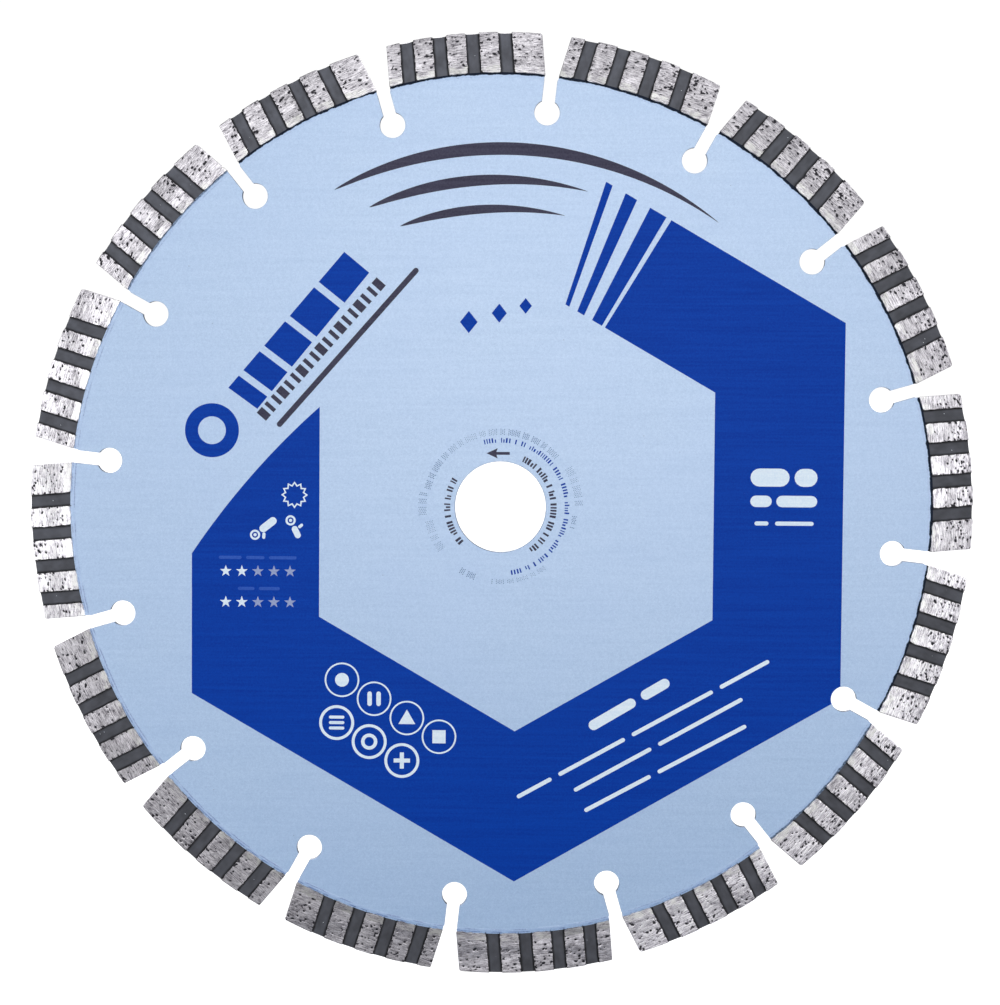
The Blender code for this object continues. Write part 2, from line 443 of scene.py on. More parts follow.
def lacquer_material(name, tint=(0, 0, 0), seam=False):
    """Light blue lacquer: fine mottling and a faint horizontal grain.

    On the weld seam it has cracks and a painted shadow under the blocks, elsewhere small dust
    nibs.
    """
    mat = Material(name)
    where = mat.position()
    mottle = mat.noise(where, scale=1.9, detail=3.0, roughness=0.68)
    fine = mat.noise(where, scale=5.2, roughness=0.6)
    rolled = mat.noise(where, stretch=(0.05, 0.3, 1.3), detail=3.0, roughness=0.6)
    cloud = mat.noise(where, scale=0.035)
    base, deep, pale = (
        srgb(*(value + shift for value, shift in zip(rgb, tint)))
        for rgb in ((156, 187, 224), (138, 171, 213), (176, 203, 236))
    )
    grain = mat.add(mat.times(fine, 0.42), mat.times(rolled, 0.16))
    level = mat.add(mat.times(mottle, 0.42), grain)
    colour = mat.mix(mat.remap(level, over=(0.36, 0.5)), deep, base)
    colour = mat.mix(mat.remap(level, over=(0.5, 0.66)), colour, pale)
    clouded = mat.remap(cloud, over=(0.35, 0.65), to=(0.0, 0.16))
    colour = mat.mix(clouded, colour, srgb(152, 184, 230))
    roughness = mat.remap(level, over=(0.3, 0.7), to=(0.40, 0.32))
    if seam:
        cracks, painted_shadow, _ = mat.split(mat.attribute("marks"))
        torn = mat.centred(
            mat.noise(where, stretch=(2.1, 2.1, 2.1), detail=3.0, roughness=0.7)
        )
        cracked = mat.add(cracks, mat.times(torn, 1.3))
        cracked = mat.remap(cracked, over=(0.32, 0.8), to=(0.0, 0.8))
        colour = mat.mix(cracked, colour, srgb(62, 92, 160))
        # Painted shadow: nearly black under the blocks' inner edge.
        painted_shadow_mask = mat.remap(mat.add(painted_shadow, mat.times(torn, 0.8)), over=(0.2, 0.75))
        colour = mat.mix(mat.times(painted_shadow_mask, 0.97), colour, srgb(14, 16, 28))
        # The painted shadow is matt.
        roughness = mat.mix_value(painted_shadow_mask, roughness, 0.9)
    else:
        # Nibs are small discs in the middle of some Voronoi cells.
        cells = mat.node(
            "ShaderNodeTexVoronoi", {"Vector": where, "Scale": 0.16, "Randomness": 1.0}
        )
        keep = mat.math("GREATER_THAN", mat.split(cells.outputs["Color"])[0], 0.4)
        spot = mat.remap(cells.outputs["Distance"], over=(0.014, 0.032), to=(1.0, 0.0))
        colour = mat.mix(mat.times(mat.times(spot, keep), 0.6), colour, srgb(88, 112, 160))
    height = mat.add(mat.times(mottle, 0.6), mat.times(fine, 0.4))
    mat.set(
        Base_Color=colour,
        Metallic=0.0,
        Roughness=roughness,
        IOR=1.75,
        Specular_IOR_Level=1.0,
        Normal=mat.bump(height, distance=0.00003, strength=0.35),
    )
    if seam:
        mat.set(Specular_IOR_Level=mat.mix_value(painted_shadow_mask, 1.0, 0.02))
    return mat.material


def ink_material(name, colour, lift, rough, wear):
    """Flat ink with fine mottling, faint horizontal banding and small pinholes."""
    mat = Material(name)
    where = mat.position()
    mottle = mat.noise(where, scale=2.3, detail=3.0, roughness=0.65)
    banding = mat.noise(where, stretch=(0.04, 0.3, 1.7), roughness=0.55)
    level = mat.add(mat.times(mottle, 0.6), mat.times(banding, 0.4))
    shade = mat.mix(mat.remap(level, over=(0.35, 0.65)), colour, lift)
    pin = mat.noise(where, stretch=None, scale=3.1)
    pinholes = mat.remap(pin, over=(0.70, 0.78), to=(0.0, wear))
    mat.set(
        Base_Color=mat.mix(pinholes, shade, srgb(180, 200, 230)),
        Metallic=0.0,
        Roughness=mat.remap(level, over=(0.3, 0.7), to=(rough + 0.06, rough - 0.04)),
        Specular_IOR_Level=0.07,
        Normal=mat.bump(mottle, distance=0.00002, strength=0.3),
    )
    return mat.material


def cut_steel_material(name):
    """Bare cut steel: striations across the sheet, a bluish tint, pale spray at the faces."""
    mat = Material(name)
    where = mat.position()
    from_middle = mat.math("ABSOLUTE", mat.split(where)[1])
    striation = mat.noise(where, stretch=(5.0, 0.25, 5.0), detail=3.0, roughness=0.6)
    tint = mat.noise(where, stretch=(0.3, 0.6, 0.3))
    light = mat.remap(striation, over=(0.3, 0.7))
    steel = mat.mix(light, srgb(96, 98, 104), srgb(186, 188, 192))
    tinted = mat.remap(tint, over=(0.4, 0.7), to=(0.0, 0.55))
    steel = mat.mix(tinted, steel, srgb(104, 112, 140))
    spray = mat.add(from_middle, mat.times(mat.centred(striation), 0.9))
    sprayed = mat.remap(spray, over=(0.45, 0.85), to=(0.0, 0.9))
    mat.set(
        Base_Color=mat.mix(sprayed, steel, srgb(150, 172, 206)),
        Metallic=mat.remap(spray, over=(0.45, 0.85), to=(0.9, 0.1)),
        Roughness=mat.remap(striation, over=(0.3, 0.7), to=(0.5, 0.34)),
        Normal=mat.bump(striation, distance=0.00006, strength=0.5),
    )
    return mat.material


# ---------------------------------------------------------------- segments

# Columns at each groove edge: inset from the edge, raggedness, share of the chips.
EDGE_COLUMNS = [
    (0.0, 1.0, 1.0),
    (0.035, 1.0, 1.0),
    (DRAFT, 0.15, 0.0),
    (0.24, 0.0, 0.0),
    (0.42, 0.0, 0.0),
]
COLUMN_STEP = 0.225
COLUMN_CLEARANCE = 0.15  # least distance of a plain column from a groove edge's columns
END_CLEARANCE = 0.12
END_CHAMFER = 0.05

# Rows from the inner to the outer radius, as shares of the way.
LAYER_STEPS = np.concatenate([np.linspace(0, 1, 37)[:-1], [0.992, 1.0]])
FOOT_STEPS = np.concatenate([[0.0, 0.045], np.linspace(0, 1, 10)[1:]])

FOOT_CORNER = 0.42
LOOSE_DRAGS = 46
GRAIN_SIZES = [0.13, 0.19, 0.26, 0.33]
GRAIN_SHARES = [0.32, 0.34, 0.24, 0.10]
# Painted reflection: how brightly each ground segment shines, clockwise from the top, set in its
# colour.
REFLECTION_TONES = [
    0.69, 0.69, 0.80, 1.11, 1.26, 1.15, 1.24, 0.92,
    0.73, 0.69, 0.76, 1.38, 1.08, 0.84, 0.72, 0.68,
]


def groove_at(along, side):
    """Distance into the nearest groove of a side (positive inside), and its centre."""
    best = min(GROOVES[side], key=lambda centre: abs(along - centre))
    return GROOVE_HALF - abs(along - best), best


def segment_columns():
    """Columns as (along, side, groove edge number, raggedness, chips); side 0 has no edge."""
    special = []
    for side in (-1, 1):
        for i, centre in enumerate(GROOVES[side]):
            for end in (-1, 1):
                edge = centre + end * GROOVE_HALF
                for inset, ragged, chips in EDGE_COLUMNS:
                    special.append((edge - end * inset, side, 2 * i + (end > 0), ragged, chips))
    plain = [ALONG_MIN, ALONG_MIN + END_CHAMFER, ALONG_MAX - END_CHAMFER, ALONG_MAX]
    along = ALONG_MIN
    while along < ALONG_MAX:
        clear = min(abs(along - column[0]) for column in special) > COLUMN_CLEARANCE
        if clear and along - ALONG_MIN > END_CLEARANCE and ALONG_MAX - along > END_CLEARANCE:
            plain.append(along)
        along += COLUMN_STEP
    return sorted(special + [(along, 0, 0, 0.0, 0.0) for along in plain])


COLUMNS = segment_columns()


def rounding(corner, distance):
    """How far a corner of this radius falls back at a distance from its end."""
    short = np.clip(corner - distance, 0, corner)
    return corner - np.sqrt(np.clip(corner**2 - short**2, 0, None))


class SegmentFace:
    """One side of a diamond layer or a foot: a grid of rows (radii) and columns (along)."""

    def __init__(self, k, side, is_layer):
        seed = 1000 + 40 * k + (0 if side < 0 else 20)
        self.k, self.side, self.is_layer = k, side, is_layer
        self.wander, self.relief = Noise(seed), Noise(seed + 1)
        self.draw = np.random.RandomState(seed + 2)
        self.nominal = np.array([column[0] for column in COLUMNS])
        self.depth, self.centre = np.array([groove_at(x, side) for x in self.nominal]).T
        self.on_floor = self.depth > DRAFT - 0.01
        self.on_wall = (self.depth > 0.02) & ~self.on_floor
        self.in_groove = self.on_floor | self.on_wall
        self.to_end = np.minimum(self.nominal - ALONG_MIN, ALONG_MAX - self.nominal)
        if is_layer:
            inner, outer, steps = LAYER_R, self.rim(), LAYER_STEPS
        else:
            inner, outer, steps = self.foot_edge(), LAYER_R, FOOT_STEPS
        self.radius = inner + (outer - inner) * steps[:, None]
        self.along = self.jagged_columns()
        self.grain = np.zeros_like(self.along)
        self.drag = np.zeros_like(self.along)

    def rim(self):
        """Outer radius of each column of the layer."""
        # The grooves' ends are worn back most towards the top of the disc.
        worn = 0.12 + 0.88 * (0.5 + 0.5 * towards(self.k, 5)) ** 1.6
        across = np.clip((self.nominal - self.centre) / GROOVE_HALF, -1, 1)
        hollow = 0.16 + 0.20 * np.sqrt(np.clip(1 - across**2, 0, 1))
        dip = np.where(self.in_groove, worn * hollow, 0.0)
        dip = dip + 0.03 * np.abs(self.wander(self.nominal / 1.3, 50.5))
        dip = dip + 0.015 * np.abs(self.wander(self.nominal / 0.4, 80.5))
        # The corner at the clockwise end is rounder.
        corner = np.where(self.nominal > 0, 0.50, 0.25)
        return RIM_R - (dip + rounding(corner, self.to_end))

    def foot_edge(self):
        """Inner radius of each column of the foot."""
        ragged = 0.14 * self.wander(self.nominal / 1.1, 20.5)
        ragged = ragged + 0.07 * self.wander(self.nominal / 0.35, 30.5)
        # The blocks' inner corners are rounded.
        corners = rounding(FOOT_CORNER, np.minimum(-self.depth, self.to_end + 0.1))
        return np.where(self.in_groove, FOOT_R + 0.02, FOOT_R + 0.27 + ragged + corners)

    def jagged_columns(self):
        """Places along the segment, with jagged groove edges."""
        along = np.repeat(self.nominal[None, :], len(self.radius), 0)
        for j, (_, side, edge, ragged, chipped) in enumerate(COLUMNS):
            if side != self.side:
                continue
            radius, strip = self.radius[:, j], 3.7 * edge
            shift = 0.075 * self.wander(radius / 0.9, strip + 0.3)
            shift = shift + 0.06 * self.wander(radius / 0.32, strip + 1.9)
            chips = np.clip(self.wander(radius / 0.45, strip + 2.6) - 0.45, 0, 1) * 0.32
            outward = 1 if edge % 2 else -1
            along[:, j] += ragged * (shift + outward * chips * chipped)
        # Keep the columns in order.
        for j in range(1, along.shape[1]):
            along[:, j] = np.maximum(along[:, j], along[:, j - 1] + 0.012)
        return along

    def scatter_grains(self):
        """Diamond grains in clumps, each with a drag mark behind it."""
        draw = self.draw
        # Towards the right of the disc there are more grains, and denser near the rim.
        rich = np.clip(towards(self.k, 90), 0, 1)
        per_area = 0.60 + 0.27 * rich
        crowding = 0.92 - 0.38 * rich
        count = int(per_area * (ALONG_MAX - ALONG_MIN) * (RIM_R - LAYER_R))
        for _ in range(count):
            x = draw.uniform(ALONG_MIN + 0.2, ALONG_MAX - 0.2)
            share = draw.uniform(0, 1) ** crowding
            out = LAYER_R - 0.2 + (RIM_R - LAYER_R + 0.1) * share
            depth, centre = groove_at(x, self.side)
            if depth > 0.45:
                continue
            if depth > -0.08:
                # Grains near a groove's edge are moved onto the block.
                x += (depth + 0.12) * (1 if x > centre else -1)
                if not ALONG_MIN < x < ALONG_MAX:
                    continue
            size = draw.choice(GRAIN_SIZES, p=GRAIN_SHARES)
            power = draw.uniform(0.65, 1.15)
            lumps = [(0.0, 0.0, 1.0)]
            for _ in range(draw.randint(0, 3)):
                aside = draw.uniform(-1.5, 1.5) * size
                up = draw.uniform(-1.0, 1.0) * size
                lumps.append((aside, up, draw.uniform(0.5, 0.8)))
            for aside, up, part in lumps:
                wide = np.abs((self.along - x - aside) / (size * part * 1.25))
                tall = np.abs((self.radius - out - up) / (size * part * 0.95))
                lump = power * np.exp(-(wide**2.4 + tall**2.4))
                self.grain = np.maximum(self.grain, lump)
            length = draw.uniform(0.5, 1.7)
            behind = (self.along - x) * -self.side
            tail = np.where(behind > 0, np.exp(-behind / length), np.exp(-((behind / 0.25) ** 2)))
            strength = draw.uniform(0.3, 0.95)
            spread = np.exp(-(((self.radius - out) / (size * 0.8)) ** 2))
            self.drag = np.maximum(self.drag, strength * tail * spread)

    def scatter_drags(self):
        """Loose drag marks without a grain, and darkening just inside the rim."""
        draw = self.draw
        for _ in range(LOOSE_DRAGS):
            x, out = draw.uniform(ALONG_MIN, ALONG_MAX), draw.uniform(LAYER_R, RIM_R)
            length, width = draw.uniform(0.5, 2.0), draw.uniform(0.08, 0.16)
            reach = ((self.along - x) / length) ** 2 + ((self.radius - out) / width) ** 2
            self.drag = np.maximum(self.drag, draw.uniform(0.25, 0.7) * np.exp(-reach))
        # The darkening is strongest towards the right of the disc.
        rim_darkening = np.clip(towards(self.k, 80), 0, 1) * 0.95
        patchy = 0.58 + 0.85 * self.relief(self.along / 0.9, self.radius / 0.22 + 60)
        near_rim = np.clip((self.radius - RIM_R + 1.9) / 1.2, 0, 1)
        self.drag = np.maximum(self.drag, rim_darkening * (near_rim * np.clip(patchy, 0, 1)))

    def mark_grooves(self):
        """In the grooves "drag" carries painted shade in the corners and on the walls; "grain" is
        a rare bright speck.
        """
        dark, keep = self.dark, 1 - self.dark
        painted_wall_shade = np.clip(1 - (self.depth - DRAFT - 0.19) / 0.28, 0, 1) * self.in_groove
        painted_wall_shade = np.where(self.on_wall, 1.0, painted_wall_shade)
        cloud = 0.8 + 0.2 * self.wander(self.radius / 0.8, self.along / 0.5)
        self.drag = self.drag * keep + painted_wall_shade * dark * cloud
        self.grain = self.grain * keep
        for _ in range(2 if self.is_layer else 0):
            x = GROOVES[self.side][self.draw.randint(0, 4)] + self.draw.uniform(-1.0, 1.0)
            out = self.draw.uniform(LAYER_R + 0.3, RIM_R - 0.8)
            reach = ((self.along - x) / 0.15) ** 2 + ((self.radius - out) / 0.13) ** 2
            self.grain = np.maximum(self.grain, dark * np.exp(-(reach**1.5)))

    def levels(self):
        """Heights above the plane of the blocks, never positive."""
        along, radius, relief = self.along, self.radius, self.relief
        keep, grain = 1 - self.dark, np.clip(self.grain, 0, 1)
        ground = 0.010 * relief(along / 2.5, radius / 0.35)
        ground = ground + 0.006 * relief(along / 0.5, radius / 0.22)
        rise = ground - 0.085 * grain + 0.012 * np.clip(self.drag * keep, 0, 1)
        floor = -GROOVE_DEPTH + 0.012 * relief(along / 1.3, radius / 1.7) + 0.02 * grain
        level = np.where(self.on_floor, floor, rise * keep)
        level = np.where(self.on_wall, -0.05, level)
        # Broken edges at the two ends, and at the rim or the foot's inner edge.
        to_end = np.minimum(along - ALONG_MIN, ALONG_MAX - along)
        level = level - np.clip(END_CHAMFER - to_end, 0, END_CHAMFER) * 0.9 * keep
        row, chamfer = (-1, 0.05) if self.is_layer else (0, 0.10)
        level[row, :] -= chamfer * keep[row, :]
        return np.minimum(level, 0.0)

    def build(self):
        """Points (along, y, out) and marks (grain, drag, dark)."""
        self.dark = np.where(self.in_groove, 1.0, 0.0) * np.ones_like(self.along)
        if self.is_layer:
            self.scatter_grains()
            self.scatter_drags()
        self.mark_grooves()
        y = self.side * (HALF_SEGMENT + self.levels())
        out = np.sqrt(self.radius**2 - self.along**2)
        return (
            np.stack([self.along, y, out], -1),
            np.stack([self.grain, self.drag, self.dark], -1),
        )


def build_segment(k, is_layer, material):
    rough = Noise(5000 + k)

    def roughen(ring_points):
        """Move the rim and the ends, which are rough sinter, a little inwards."""
        along, y, out = ring_points.T
        radius = np.hypot(along, out)
        amount = 0.022 * (rough(along / 0.28 + 3 * k, y / 0.28 + out / 0.4) + 1.0)
        pull = np.where(radius > RIM_R - 0.8, amount, 0.0)
        at_end = (along < ALONG_MIN + 0.01) | (along > ALONG_MAX - 0.01)
        end_pull = np.where(at_end, amount * 0.8, 0.0)
        new_along = along * (1 - pull / radius) - np.sign(along) * end_pull
        return np.stack([new_along, y, out * (1 - pull / radius)], -1)

    front, rear = (SegmentFace(k, side, is_layer).build() for side in (-1, 1))
    points, faces, marks = two_sided(
        front, rear, between=8, edge_marks=(0.12, 0.35, 0.0), roughen=roughen
    )
    # The feet take the same painted reflection, darker along the bottom of the disc, just right of
    # its lowest point.
    bottom_darkening = 0.24 * max(0.0, towards(k, 165))
    tone = REFLECTION_TONES[k] * (1.0 if is_layer else 1.05 * (1 - bottom_darkening))
    # The groove skin is paler at the disc's top left.
    pale_skin = 1 + 0.45 * max(0.0, towards(k, -30))
    obj = make_object(
        ("diamond_layer" if is_layer else "sintered_foot") + f"_{k + 1:02d}",
        place(points, TURNS[k]),
        faces,
        {
            "loc": points + np.array([60.0 * k, 0.0, 0.0]),
            "marks": marks,
            "tone": np.tile([tone, pale_skin, 1.0], (len(points), 1)),
        },
        sharp=50.0,
    )
    obj.data.materials.append(material)
    return obj


# ---------------------------------------------------------------- weld beads

# Rows of a bead: radius, height over the core, share of the sideways wander, share of the
# ripples.
WELD_ROWS = np.array([
    (103.75, -0.03, 0.8, 0.0),
    (104.0, 0.012, 1.0, 0.3),
    (104.2, 0.038, 1.0, 1.0),
    (104.4, 0.05, 1.0, 1.0),
    (104.6, 0.056, 0.6, 1.0),
    (104.75, 0.054, 0.4, 1.0),
    (104.9, 0.045, 0.2, 0.8),
    (105.05, 0.035, 0.1, 0.5),
    (105.2, 0.025, 0.0, 0.2),
    (105.36, 0.02, 0.0, 0.0),
])
WELD_COLUMNS = 160
WELD_SLOT_HALF = 1.62
WELD_END_GAP = 0.1


def build_weld(k, material):
    """Weld bead between core and foot, under the lacquer: a low rippled ridge."""
    ripple = Noise(7000 + k)
    # Painted shadow: the dark line that the blocks' step casts on the weld is darkest towards the
    # upper right.
    shade = 0.5 + 0.5 * towards(k, 42)
    radii, lift, fade, mask = WELD_ROWS.T
    # The bead ends where the core's own slots begin.
    wall = radii * np.sin(PITCH / 2 - np.arcsin(WELD_SLOT_HALF / radii))
    high = np.minimum(wall, ALONG_MAX - WELD_END_GAP)
    low = np.maximum(-wall, ALONG_MIN + WELD_END_GAP)
    along = low[:, None] + (high - low)[:, None] * np.linspace(0, 1, WELD_COLUMNS)[None, :]
    middle = along[4]

    def dark_line(offset, length, strip):
        """Wandering line of thin lacquer, broken up along its length."""
        broken = np.clip(0.68 + 0.9 * ripple(along / length, strip), 0, 1)
        return np.exp(-((offset / 0.15) ** 2)) * broken * (1 - 0.7 * shade)

    grids = []
    for side in (-1, 1):
        shift = 0.09 * ripple(middle / 2.2, 5.5 + 9 * side)
        shift = shift + 0.05 * ripple(middle / 0.6, 9.5 + 9 * side)
        radius = radii[:, None] + fade[:, None] * shift[None, :]
        ridges = 0.016 * ripple.fractal(along / 0.45, radius / 0.5 + 40 * side)
        ridges = ridges + 0.012 * ripple(along / 1.6, radius / 0.8 + 70 * side)
        y = side * (HALF_CORE + lift[:, None] + ridges * mask[:, None])
        line = dark_line(radius - 104.33 - shift, 3.1, 90 + side)
        second = dark_line(radius - 104.98, 1.4, 99 + side)
        blots = np.clip(ripple(along / 0.5, radius / 0.4 + 130 * side) - 0.55, 0, 1)
        blots = blots * 1.6 * np.exp(-(((radius - 104.3) / 0.5) ** 2))
        # Painted shadow below the blocks' inner edge: it reaches further in, and is darker,
        # towards the upper right.
        edge = 105.03 - 0.38 * shade + 0.13 * ripple(along / 1.2, 150 + side)
        edge = edge + 0.06 * ripple(along / 0.35, 170 + side)
        painted_shadow = np.clip((radius - edge) / 0.14, 0, 1)
        painted_shadow = painted_shadow * (0.22 + 0.78 * np.clip((shade - 0.35) / 0.35, 0, 1))
        cracks = np.maximum(np.maximum(line, second), blots)
        grids.append((
            np.stack([along, y, np.sqrt(radius**2 - along**2)], -1),
            np.stack([cracks, painted_shadow, np.zeros_like(along)], -1),
        ))
    points, faces, marks = two_sided(*grids, between=4, edge_marks=(0.3, 0.2, 0.0))
    name = f"weld_bead_{k + 1:02d}"
    obj = make_object(name, place(points, TURNS[k]), faces, {"marks": marks}, sharp=60.0)
    obj.data.materials.append(material)
    return obj


# ---------------------------------------------------------------- lacquer

# How far the lacquer stops short of the steel's edge.
RIM_INSET = 0.03
SLOT_INSET = 0.05
BORE_INSET = 0.10
RIM_STEP, WALL_STEP, KEYHOLE_STEPS, BORE_STEPS = 1.2, 0.45, 48, 160


def slot_path():
    """Down the near wall of a slot at the top, round its keyhole and up the far wall."""
    half, hole = SLOT_HALF + SLOT_INSET, KEYHOLE_R + SLOT_INSET
    mouth = math.asin(half / hole)
    neck = KEYHOLE_CENTRE + hole * math.cos(mouth)
    length = math.sqrt(CORE_R**2 - half**2) - neck
    wall = range(1, int(length / WALL_STEP))
    path = [(-half, neck + length * (1 - i * WALL_STEP / length)) for i in wall]
    for i in range(KEYHOLE_STEPS + 1):
        angle = -mouth - (2 * math.pi - 2 * mouth) * i / KEYHOLE_STEPS
        path.append((hole * math.sin(angle), KEYHOLE_CENTRE + hole * math.cos(angle)))
    return path + [(half, neck + i * WALL_STEP) for i in wall]


def core_outline(side):
    """Edge of the lacquer on one face: along the rim, and down and round each keyhole."""
    wobble = Noise(300 + side)
    path = slot_path()
    rim_half = math.asin((SLOT_HALF + SLOT_INSET) / CORE_R)
    loop = []
    for k in range(SEGMENTS):
        slot = FIRST_SLOT + k * PITCH
        start = slot - PITCH + rim_half
        end = slot - rim_half
        count = int(CORE_R * (end - start) / RIM_STEP)
        for i in range(count + 1):
            loop.append(polar(start + (end - start) * i / count, CORE_R - RIM_INSET))
        for along, out in path:
            grow = 1 + 0.012 * float(wobble(along * 1.7 + 31 * k, out * 1.7))
            from_hole = out - KEYHOLE_CENTRE
            out = KEYHOLE_CENTRE + from_hole * (grow if abs(from_hole) < 4 else 1)
            loop.append(turned(along * grow, out, slot))
    return loop[::-1]


def bore_outline(side):
    """Edge of the lacquer round the bore, slightly wavy."""
    wobble = Noise(41 + side)
    loop = []
    for i in range(BORE_STEPS):
        angle = 2 * math.pi * i / BORE_STEPS
        cos, sin = math.cos(angle), math.sin(angle)
        radius = BORE_R + BORE_INSET + 0.03 * float(wobble(sin * 9 + 20, cos * 9 + 20))
        loop.append((radius * cos, radius * sin))
    return loop


def build_lacquer(name, side, material):
    low, high = sorted((side * HALF_CORE, side * (HALF_CORE + LACQUER)))
    obj = slabs(name, [[core_outline(side), bore_outline(side)]], low, high)
    obj.data.materials.append(material)
    return obj


# ------------------------------------- print shapes, in (x, z) seen from the front


def part_way(start, end, t):
    return (start[0] + (end[0] - start[0]) * t, start[1] + (end[1] - start[1]) * t)


def circle(x, z, radius, count):
    angles = [2 * math.pi * i / count for i in range(count)]
    return [(x + radius * math.cos(a), z + radius * math.sin(a)) for a in angles]


def disc(x, z, radius):
    return [circle(x, z, radius, 40)]


def ring(x, z, outer, inner):
    return [circle(x, z, outer, 64), circle(x, z, inner, 56)[::-1]]


def capsule(x0, z0, x1, z1, width):
    """A bar with rounded ends."""
    length = math.hypot(x1 - x0, z1 - z0)
    angle = math.atan2(z1 - z0, x1 - x0)
    half = width / 2
    cap = min(half, length / 2)
    loop = []
    for end, centre in ((0, length - cap), (math.pi, cap)):
        for i in range(9):
            a = end - math.pi / 2 + math.pi * i / 8
            loop.append((centre + cap * math.cos(a), half * math.sin(a)))
    cos, sin = math.cos(angle), math.sin(angle)
    return [[(x0 + x * cos - z * sin, z0 + x * sin + z * cos) for x, z in loop]]


def dashes(x0, z0, x1, z1, width, gap, lengths):
    """A row of rounded dashes along a line, its lengths scaled to fill it."""
    total = math.hypot(x1 - x0, z1 - z0)
    scale = (total - gap * (len(lengths) - 1)) / sum(lengths)
    step_x, step_z = (x1 - x0) / total, (z1 - z0) / total
    shapes, at = [], 0.0
    for item in lengths:
        to = at + item * scale
        start = (x0 + step_x * at, z0 + step_z * at)
        shapes.append(capsule(*start, x0 + step_x * to, z0 + step_z * to, width))
        at += item * scale + gap
    return shapes


def polygon(x, z, radius, sides, turn=0.0):
    angles = [turn + 2 * math.pi * i / sides for i in range(sides)]
    return [(x + radius * math.sin(a), z + radius * math.cos(a)) for a in angles][::-1]


def star(x, z, outer, inner, points):
    loop = []
    for i in range(2 * points):
        radius = inner if i % 2 else outer
        angle = math.pi * i / points
        loop.append((x + radius * math.sin(angle), z + radius * math.cos(angle)))
    return loop[::-1]


def tapered_arc(radius, start, end, peak, steps=90):
    """Band about the bore between two angles in degrees, thin at both ends."""
    outer, inner = [], []
    for i in range(steps + 1):
        t = i / steps
        angle = math.radians(start + (end - start) * t)
        half = (0.06 + peak * math.sin(math.pi * t**0.8) ** 0.9) / 2
        outer.append(polar(angle, radius + half))
        inner.append(polar(angle, radius - half))
    return [inner + outer[::-1]]


def arc_ticks(radius, start, end, height, seed, thin, thick, gap, groups):
    """Radial ticks along an arc, in groups; about a quarter of them are shorter."""
    draw = np.random.RandomState(seed)
    shapes, angle, left, group = [], math.radians(start), groups[0], 0
    while angle < math.radians(end):
        width = draw.uniform(thin, thick)
        half = width / 2 / radius
        low, high = radius - height / 2, radius + height / 2
        if draw.rand() < 0.25:
            high = radius + height * 0.2
        corners = ((-half, low), (half, low), (half, high), (-half, high))
        shapes.append([[polar(angle + side, r) for side, r in corners]])
        left -= 1
        if left == 0:
            group += 1
            left = groups[group % len(groups)]
            angle += (width + 3.4 * gap) / radius
        else:
            angle += (width + gap) / radius
    return shapes


def bowed(start, end, bulge, steps=16):
    """Points along a shallow curve that bulges to the left of the way."""
    across, rise = end[0] - start[0], end[1] - start[1]
    size = math.hypot(across, rise)
    loop = []
    for i in range(steps + 1):
        t = i / steps
        off = bulge * 4 * t * (1 - t)
        x, z = start[0] + across * t, start[1] + rise * t
        loop.append((x - rise / size * off, z + across / size * off))
    return loop


def crossing(start, end, centre, radius):
    """The point where the way from start to end enters a circle."""
    way_x, way_z = end[0] - start[0], end[1] - start[1]
    x, z = start[0] - centre[0], start[1] - centre[1]
    square, half = way_x * way_x + way_z * way_z, x * way_x + z * way_z
    root = math.sqrt(half * half - square * (x * x + z * z - radius * radius))
    return part_way(start, end, (-half - root) / square)


def notch(before, corner, after, centre, radius, steps=24):
    """Points round a hole that cuts off the corner between two others."""
    enter = crossing(before, corner, centre, radius)
    leave = crossing(after, corner, centre, radius)
    first = math.atan2(enter[1] - centre[1], enter[0] - centre[0])
    last = math.atan2(leave[1] - centre[1], leave[0] - centre[0])
    sweep = (last - first) % (2 * math.pi)
    angles = [first + sweep * i / steps for i in range(steps + 1)]
    return [
        (centre[0] + radius * math.cos(a), centre[1] + radius * math.sin(a)) for a in angles
    ]


def hexagon(radius, x, z):
    """Corners clockwise from the top."""
    corners = [polar(math.radians(60 * i), radius) for i in range(6)]
    return [(x + corner[0], z + corner[1]) for corner in corners]


# ---------------------------------------------------------------- the print

HEX_OUTER = hexagon(91.8, 4.0, -0.5)
HEX_INNER = hexagon(55.6, 3.9, 0.5)

# Lower and upper side of the row of blocks, and where each block starts and ends along it.
ROW_LOW, ROW_HIGH = ((-59.5, 23.5), (-32.3, 56.8)), ((-66.6, 28.6), (-38.4, 61.8))
ROW_BLOCKS = ((0.0, 0.09), (0.13, 0.27), (0.31, 0.49), (0.53, 0.74), (0.78, 1.0))
RHOMBS = ((-8.0, 45.0, 2.7), (-0.6, 47.2, 2.3), (5.8, 49.0, 1.9))  # x, z, half height
# Bars beyond the band's upper end, as shares of the hexagon's side, and their lean.
END_BARS = ((0.575, 0.625), (0.665, 0.70), (0.74, 0.76))
END_BAR_LEAN = 0.025

# Radius, start and end in degrees, greatest width.
TAPERED_ARCS = ((87.0, -28.0, 37.0, 3.0), (79.5, -24.0, 15.0, 2.6), (72.5, -20.0, 12.0, 2.1))
SCALE_BARS = 19
SCALE_START, SCALE_END = (-57.9, 22.3), (-30.0, 54.0)
SCALE_TURN = math.radians(48.7)
ARROW = [
    (-3.45, 13.1), (-0.75, 11.85), (-1.05, 12.75), (2.2, 12.75),
    (2.2, 13.45), (-1.05, 13.45), (-0.75, 14.35),
]

